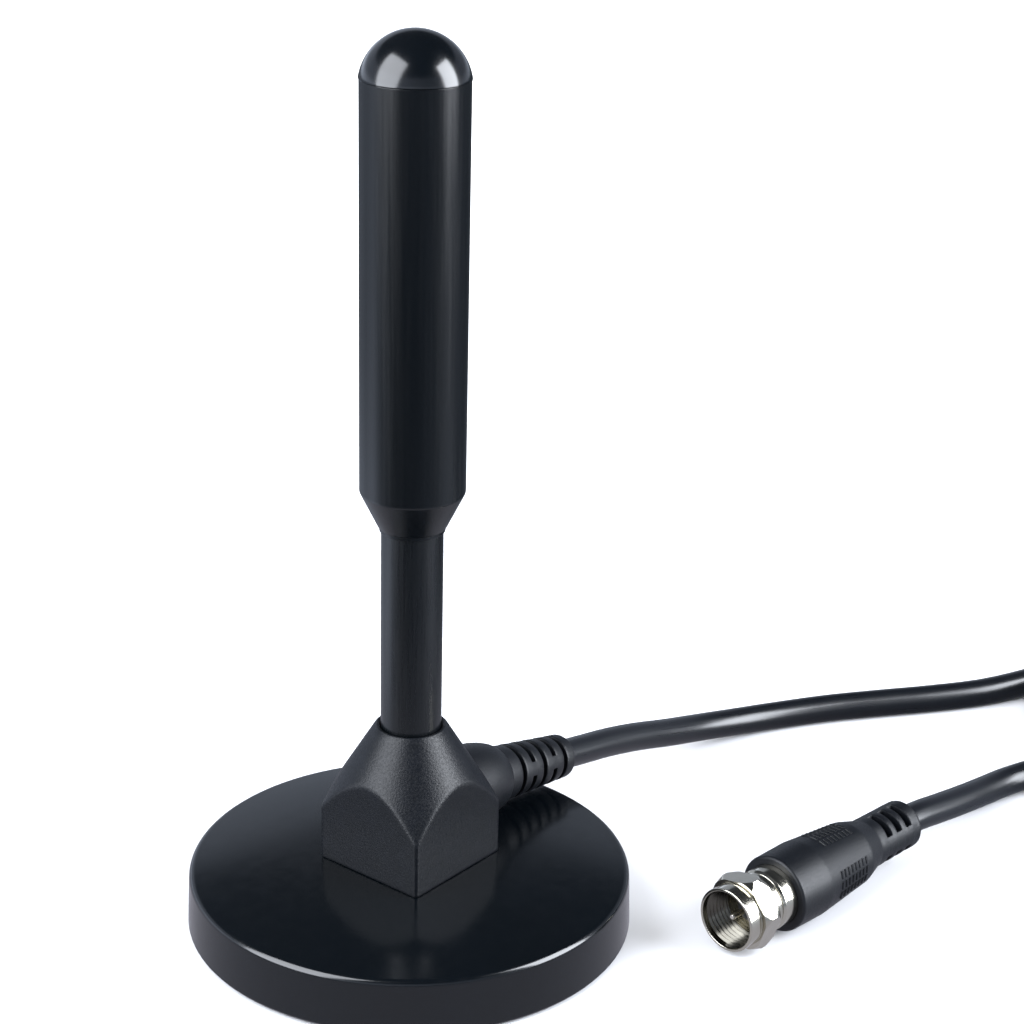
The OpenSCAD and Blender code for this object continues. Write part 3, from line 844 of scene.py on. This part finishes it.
index = add(grip, "GeometryNodeInputIndex")
piece_span = add(grip, "ShaderNodeMath", {0: sizes["Span"], 1: sizes["Pieces"]}, operation="DIVIDE")
arc_span = add(grip, "ShaderNodeMath", {0: piece_span, 1: 0.72}, operation="MULTIPLY")
arc = add(grip, "GeometryNodeCurveArc", {"Resolution": 6, "Radius": sizes["Radius"], "Start Angle": 0.0,
    "Sweep Angle": arc_span}, mode="RADIUS")
bead = add(grip, "GeometryNodeCurvePrimitiveCircle", {"Resolution": 8, "Radius": sizes["Width"]})
rib = add(grip, "GeometryNodeCurveToMesh", {"Curve": arc, "Profile Curve": bead, "Fill Caps": True})
beside = add(grip, "GeometryNodeMeshLine", {"Count": sizes["Pieces"], "Offset": (0.0, 0.0, 0.0)})
half_span = add(grip, "ShaderNodeMath", {0: sizes["Span"], 1: -0.5}, operation="MULTIPLY")
swing = add(grip, "ShaderNodeMath", {0: index, 1: piece_span, 2: half_span}, operation="MULTIPLY_ADD")
swing_vector = add(grip, "ShaderNodeCombineXYZ", {"Z": swing})
rib_row = add(grip, "GeometryNodeInstanceOnPoints", {"Points": beside, "Instance": rib,
    "Rotation": swing_vector})
stride = add(grip, "ShaderNodeCombineXYZ", {"Z": sizes["Pitch"]})
rows = add(grip, "GeometryNodeMeshLine", {"Count": sizes["Ribs"], "Offset": stride})
shrink = add(grip, "ShaderNodeMath", {0: index, 1: sizes["Taper"], 2: 1.0}, operation="MULTIPLY_ADD")
narrower = add(grip, "ShaderNodeCombineXYZ", {"X": shrink, "Y": shrink, "Z": 1.0})
patch = add(grip, "GeometryNodeInstanceOnPoints", {"Points": rows, "Instance": rib_row,
    "Scale": narrower})
close_tree(grip, copies_round(grip, patch, sizes["Patches"]), sizes["Finish"])
print("grip tree has", len(grip.nodes), "nodes")

# %% Lay the ribs on the plug
rib_start, rib_pitch, rib_count = 21.5, 1.0, 8
taper_per_mm = (body_r - waist_r) / (30.5 - body_start - 7)
rib_r = body_r - taper_per_mm * (rib_start - body_start - 7)
ribs = grow("plug_grip", grip, plug_place @ Matrix.Translation((0, 0, rib_start)), Ribs=rib_count,
    Pitch=rib_pitch, Radius=rib_r - 0.02, Taper=-taper_per_mm * rib_pitch / rib_r, Width=0.27,
    Span=math.radians(50), Pieces=3, Patches=4, Finish=moulded_pvc)
dress(ribs, "stand", "moulded_black_pvc")

# %% [markdown]
# ## The mast
# The stem is a slim tube that screws into the socket on a brass stud. The sleeve is the fatter
# tube above it: a small lip, a short taper, a long straight barrel, and a domed cap pressed
# into its open end, a tenth of a millimetre proud, so that a fine dark seam shows under it.

# %% Stem
stem_low, stem_high = box("stem")
stem_r = stem_high.x
stem = turned("mast_stem", rounded([(3, stem_low.z, 0.1), (stem_r, stem_low.z, 0.35),
    (stem_r, stem_high.z, 0.2), (2.6, stem_high.z, 0.1), (2.6, stem_low.z + 8, 0),
    (3, stem_low.z + 8, 0)]), satin_abs, columns=96)
dress(stem, "mast", "gloss_black_abs", "stem")

# %% Sleeve
sleeve_low, sleeve_high = box("sleeve")
sleeve_r = sleeve_high.x
taper_top = sleeve_low.z + 6.3
sleeve_bore = sleeve_r - 1.4
sleeve_outline = rounded([(stem_r + 0.01, sleeve_low.z, 0.05), (stem_r + 0.27, sleeve_low.z, 0.12),
    (stem_r + 0.27, sleeve_low.z + 0.5, 0.1), (stem_r + 0.5, sleeve_low.z + 0.75, 0.3),
    (sleeve_r, taper_top, 0.9), (sleeve_r, sleeve_high.z, 0.06), (sleeve_bore, sleeve_high.z, 0.1),
    (sleeve_bore, stem_high.z, 0.2), (stem_r + 0.01, stem_high.z, 0.05)])
sleeve = turned("mast_sleeve", sleeve_outline, tube_abs, columns=160)
dress(sleeve, "mast", "gloss_black_abs", "sleeve")

# %% Dome cap
cap_low, cap_high = box("dome_cap")
cap_r = cap_high.x
dome_h = cap_high.z - sleeve_high.z
seam = 0.08
dome_rise = dome_h - seam - 0.1
dome_ball = (cap_r ** 2 + dome_rise ** 2) / (2 * dome_rise)
dome_tilt = math.asin(1 - dome_rise / dome_ball)
dome = [(dome_ball * math.cos(a), cap_high.z - dome_ball * (1 - math.sin(a)), 0)
    for a in np.linspace(dome_tilt, math.pi / 2, 40)]
hollow = [(4.95 * math.cos(a), sleeve_high.z + (dome_h - 1.6) * math.sin(a), 0)
    for a in np.radians(np.linspace(90, 0, 16))]
cap_outline = rounded([(sleeve_bore - 0.02, sleeve_high.z + seam, 0.05),
    (cap_r, sleeve_high.z + seam, 0.05)] + dome + hollow + [(4.95, cap_low.z, 0.1),
    (sleeve_bore - 0.02, cap_low.z, 0.3)])
cap = turned("mast_cap", cap_outline, gloss_abs, columns=160)
dress(cap, "mast", "gloss_black_abs", "dome_cap")

# %% [markdown]
# ## Threads and seal
# Unscrew the mast and these show: the brass stud with its M6 thread, the threaded brass insert
# that it runs in, and the rubber ring that is squeezed between the stem and the socket.

# %% Stud and insert
stud_low, stud_high = box("mast_stud")
stud_body = turned("stud_body", rounded([(0, stud_low.z, 0), (2.1, stud_low.z, 0.1),
    (2.5, stud_low.z + 0.6, 0.1), (2.5, stem_low.z - 0.4, 0), (2.98, stem_low.z - 0.1, 0),
    (2.98, stud_high.z, 0.2), (0, stud_high.z, 0)], False), brass, columns=64, closed=False)
stud_thread = thread("stud_thread", stud_low.z + 0.5, stem_low.z - 0.5, 2.56, 0.42, 1.0, brass)
stud = joined("mast_thread", [stud_body, stud_thread])
dress(stud, "mast", "brass", "mast_stud")

insert_low, insert_high = box("threaded_insert")


def knurled(radius, height, angle):
    outer = radius > 3.9
    band = (height > insert_low.z + 0.8) & (height < insert_high.z - 0.8)
    return np.where(outer & band, radius - 0.12 * (1 - np.cos(angle * 36)), radius)


insert_grooves = [(radius, insert_low.z + z + step, fillet) for z in (2.5, 5.5) for radius, step,
    fillet in ((4, 0, 0.05), (3.7, 0.1, 0), (3.7, 0.7, 0), (4, 0.8, 0.05))]
insert_outline = rounded([(3.3, insert_low.z, 0.1), (4, insert_low.z, 0.2)] + insert_grooves
    + [(4, insert_high.z, 0.15), (3.3, insert_high.z, 0.2)])
insert_body = turned("insert_body", insert_outline, brass, columns=216, shape=knurled)
insert_thread = thread("insert_thread", insert_low.z + 0.3, insert_high.z - 0.3, 3.32, 0.28, 1.0, brass)
insert = joined("socket_insert", [insert_body, insert_thread])
dress(insert, "stand", "brass", "threaded_insert")

# %% Seal ring
ring_low, ring_high = box("seal_ring")
seal = turned("seal_washer", rounded([(3.1, ring_low.z, 0.25), (ring_high.x, ring_low.z, 0.3),
    (ring_high.x, ring_high.z, 0.3), (3.1, ring_high.z, 0.25)]), black_rubber, columns=96)
dress(seal, "seal", "black_rubber", "seal_ring")

# %% [markdown]
# ## What is inside
# The sleeve hides a loading coil, eight turns of copper on a nylon former, which makes the
# short rod act like a longer one. Under the socket the lead's braid is gathered to a twisted
# pigtail and grounded to the steel plate. Both are wound by trees, the pigtail by repeating
# one strand round its axis.

# %% Loading coil
coil_low_z, coil_high_z = [v.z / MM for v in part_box("loading_coil")]
wire_r = 0.5
coil_rise = coil_high_z - coil_low_z - 2 * wire_r
inductor = grow("antenna_inductor", helix, Matrix.Translation((0, 0, coil_low_z + wire_r)), Turns=8.0,
    Radius=4.1, Rise=coil_rise, Wire=wire_r, Sides=10, Steps=48, Finish=copper)
dress(inductor, "mast", "copper", "loading_coil")

# %% Braid pigtail
pigtail, sizes = sizes_tree("pigtail", {"Strands": "Int", "Turns": "Float", "Radius": "Float",
    "Length": "Float", "Wire": "Float", "Finish": "Material"})
strand_line = add(pigtail, "GeometryNodeCurveSpiral", {"Resolution": 20, "Rotations": sizes["Turns"],
    "Start Radius": sizes["Radius"], "End Radius": sizes["Radius"], "Height": sizes["Length"]})
strand_section = add(pigtail, "GeometryNodeCurvePrimitiveCircle",
    {"Resolution": 8, "Radius": sizes["Wire"]})
strand = add(pigtail, "GeometryNodeCurveToMesh", {"Curve": strand_line, "Profile Curve": strand_section,
    "Fill Caps": True})
close_tree(pigtail, copies_round(pigtail, strand, sizes["Strands"]), sizes["Finish"])
print("pigtail tree has", len(pigtail.nodes), "nodes")

braid_low, braid_high = box("braid_tail")
braid_at = (braid_low + braid_high) / 2
braid = grow("braid_pigtail", pigtail, Matrix.Translation((braid_at.x, braid_at.y, braid_low.z)),
    Strands=7, Turns=2.0, Radius=0.62, Length=braid_high.z - braid_low.z, Wire=0.27, Finish=copper)
dress(braid, "stand", "copper", "braid_tail")

# %% [markdown]
# ## Finishes for the carried-over parts
# The rest of the CAD nodes have the right shape already: plain discs, tubes, rods and screws.
# They keep their meshes and only get their finish.

# %% Finish the CAD nodes
node_finish = {
    black_rubber: ["foot_pad"],
    ferrite: ["ring_magnet"],
    zinc: ["yoke_plate", "socket_screws", "ground_lug", "anchor_ferrule"],
    brass: ["contact_tag", "radiator_rod", "upper_rod"],
    copper: ["core_wire"],
    white_pe: ["core_dielectric"],
    black_pe: ["plug_dielectric"],
    end_pvc: ["cable_tail", "plug_tail"],
    nickel: ["plug_post"],
    ivory_nylon: ["stem_bush", "coil_former"],
    grey_foam: ["foam_plug"],
}
for finish, names in node_finish.items():
    for name in names:
        shown = frame["nodes"][name].data
        shown.materials.clear()
        shown.materials.append(finish)
print("CAD nodes finished:", sum(len(names) for names in node_finish.values()))

# %% [markdown]

# %% [markdown]
# ## Floor and lights
# Black plastic shows hardly any colour of its own, so what the eye reads is what it reflects.
# The floor is a white paper sweep, bright to the eye. A studio hangs black cards in front of a
# dark glossy piece to keep its middle deep, and leaves the paper bare at its sides to draw its
# edges. No cards hang here; instead the floor carries a painted reflection, which only glossy
# rays see: dark towards the camera and light on either side. The painted reflection also
# fades with distance, which leaves the mast darkest at the top. A tall softbox on the
# left and a smaller, brighter one on the right make the two windows on the dome.

# %% Floor
# Painted reflection: what the floor shows in reflections, by its bearing from the mast in degrees from
# +X.
painted_floor_reflection = [(-180, 0.07), (-135, 0.07), (-100, 0.25), (-62, 0.62), (-38, 0.32), (-8, 0.12), (60, 0.36),
    (98, 0.75), (128, 1.5), (155, 0.36), (180, 0.07)]
# Close to the foot it is an even grey.
floor_near = 0.5
# Beyond this many metres from the mast the paper itself glows, so that no horizon shows.
glow_start, glow_full = 0.15, 0.6
floor = bpy.data.objects.new("floor", bpy.data.meshes.new("floor"))
reach = 6
floor.data.from_pydata([(-reach, -reach, 0), (reach, -reach, 0), (reach, reach, 0), (-reach, reach, 0)],
    [], [(0, 1, 2, 3)])
scene.collection.objects.link(floor)
white, tree, shader = start_material("paper_sweep_painted_reflection")
shader.inputs["Base Color"].default_value = linear("d0d1d4")
shader.inputs["Roughness"].default_value = 0.9
shader.inputs["Specular IOR Level"].default_value = 0.0
shader.inputs["Emission Color"].default_value = (1, 1, 1, 1)
where = add(tree, "ShaderNodeTexCoord").outputs["Object"]
away = add(tree, "ShaderNodeVectorMath", {0: where}, operation="LENGTH")
bare = add(tree, "ShaderNodeMapRange", {"Value": away.outputs["Value"], "From Min": glow_start,
    "From Max": glow_full}, interpolation_type="SMOOTHSTEP")
tree.links.new(bare.outputs[0], shader.inputs["Emission Strength"])
bearing = add(tree, "ShaderNodeTexGradient", {"Vector": where}, gradient_type="RADIAL")
shades = add(tree, "ShaderNodeValToRGB", {"Fac": bearing.outputs["Fac"]})
shades.color_ramp.interpolation = "EASE"
for degrees, shade in painted_floor_reflection[1:-1]:
    stop = shades.color_ramp.elements.new((degrees + 180) / 360)
    stop.color = (shade * 0.84, shade * 0.93, shade * 1.12, 1)
for stop in (shades.color_ramp.elements[0], shades.color_ramp.elements[-1]):
    stop.color = (painted_floor_reflection[0][1],) * 3 + (1,)
close = add(tree, "ShaderNodeMapRange", {"Value": away.outputs["Value"], "From Min": 0.045,
    "From Max": 0.13}, interpolation_type="SMOOTHSTEP")
seen = add(tree, "ShaderNodeMix", {"Factor": close, 6: (floor_near, floor_near, floor_near * 1.15, 1),
    7: shades.outputs["Color"]}, data_type="RGBA")
fade = add(tree, "ShaderNodeMapRange", {"Value": away.outputs["Value"], "From Min": 0.13, "From Max": 0.3,
    "To Min": 1.0, "To Max": 0.5})
# Glossy rays see this painted reflection instead of the lit paper, and it dims with distance.
painted_reflection = add(tree, "ShaderNodeEmission", {"Color": seen.outputs[2], "Strength": fade})
ray = add(tree, "ShaderNodeLightPath")
paper = add(tree, "ShaderNodeMixShader", {"Fac": ray.outputs["Is Glossy Ray"], 1: shader, 2: painted_reflection})
tree.links.new(paper.outputs[0], tree.nodes["Material Output"].inputs["Surface"])
floor.data.materials.append(white)

# %% Lights
middle = Vector((0, 0, 0.09))


def softbox(name, bearing, rise, distance, width, height, radiance):
    lamp = bpy.data.lights.new(name, "AREA")
    lamp.shape = "RECTANGLE"
    lamp.size = width
    lamp.size_y = height
    lamp.energy = radiance * math.pi * width * height
    lamp.color = (0.95, 0.99, 1.06)
    lit = bpy.data.objects.new(name, lamp)
    turn, tip = math.radians(bearing), math.radians(rise)
    way = Vector((math.cos(turn) * math.cos(tip), math.sin(turn) * math.cos(tip), math.sin(tip)))
    lit.location = middle + way * distance
    lit.rotation_euler = (-way).to_track_quat("-Z", "Y").to_euler()
    scene.collection.objects.link(lit)


# Bearing and rise in degrees, distance, width and height in metres, and radiance.
softbox("left_softbox", 160, 28, 1.1, 1.0, 1.4, 9)
softbox("right_softbox", -62, 20, 1.1, 0.66, 1.05, 16.5)

# %% [markdown]
# The room is pale. Seen in reflections, it has a bright band low on the walls, which draws the
# thin light line round the dome and along the foot's far rim, and a black ceiling, which keeps
# the foot's top deep. The wall on the left is the lighter one, and all of it is a little cool.

# %% Room
world = bpy.data.worlds.new("studio")
scene.world = world
world.use_nodes = True
sky = world.node_tree
sky.nodes.clear()
direction = add(sky, "ShaderNodeTexCoord").outputs["Generated"]
height_of = add(sky, "ShaderNodeSeparateXYZ", {"Vector": direction})
wall = add(sky, "ShaderNodeMapRange", {"Value": height_of.outputs["Z"], "From Min": 0.04,
    "From Max": 0.19, "To Min": 1.2, "To Max": 0.5}, interpolation_type="SMOOTHSTEP")
ceiling = add(sky, "ShaderNodeMapRange", {"Value": height_of.outputs["Z"], "From Min": 0.43,
    "From Max": 0.5, "To Min": 1.0, "To Max": 0.12}, interpolation_type="SMOOTHSTEP")
leftward = add(sky, "ShaderNodeVectorMath", {0: direction, 1: (-0.66, 0.75, 0)}, operation="DOT_PRODUCT")
side = add(sky, "ShaderNodeMapRange", {"Value": leftward.outputs["Value"], "From Min": -0.35,
    "From Max": 0.35, "To Min": 0.7, "To Max": 1.3})
upper = add(sky, "ShaderNodeMath", {0: wall, 1: ceiling}, operation="MULTIPLY")
reflected = add(sky, "ShaderNodeMath", {0: upper, 1: side}, operation="MULTIPLY")
ray = add(sky, "ShaderNodeLightPath")
strength = add(sky, "ShaderNodeMix", {"Factor": ray.outputs["Is Glossy Ray"], 2: 1.0, 3: reflected},
    data_type="FLOAT")
cool = add(sky, "ShaderNodeMix", {"Factor": ray.outputs["Is Glossy Ray"], 6: (1, 1, 1, 1),
    7: (0.84, 0.93, 1.11, 1)}, data_type="RGBA")
glow = add(sky, "ShaderNodeBackground", {"Color": cool.outputs[2], "Strength": strength})
add(sky, "ShaderNodeOutputWorld", {"Surface": glow})
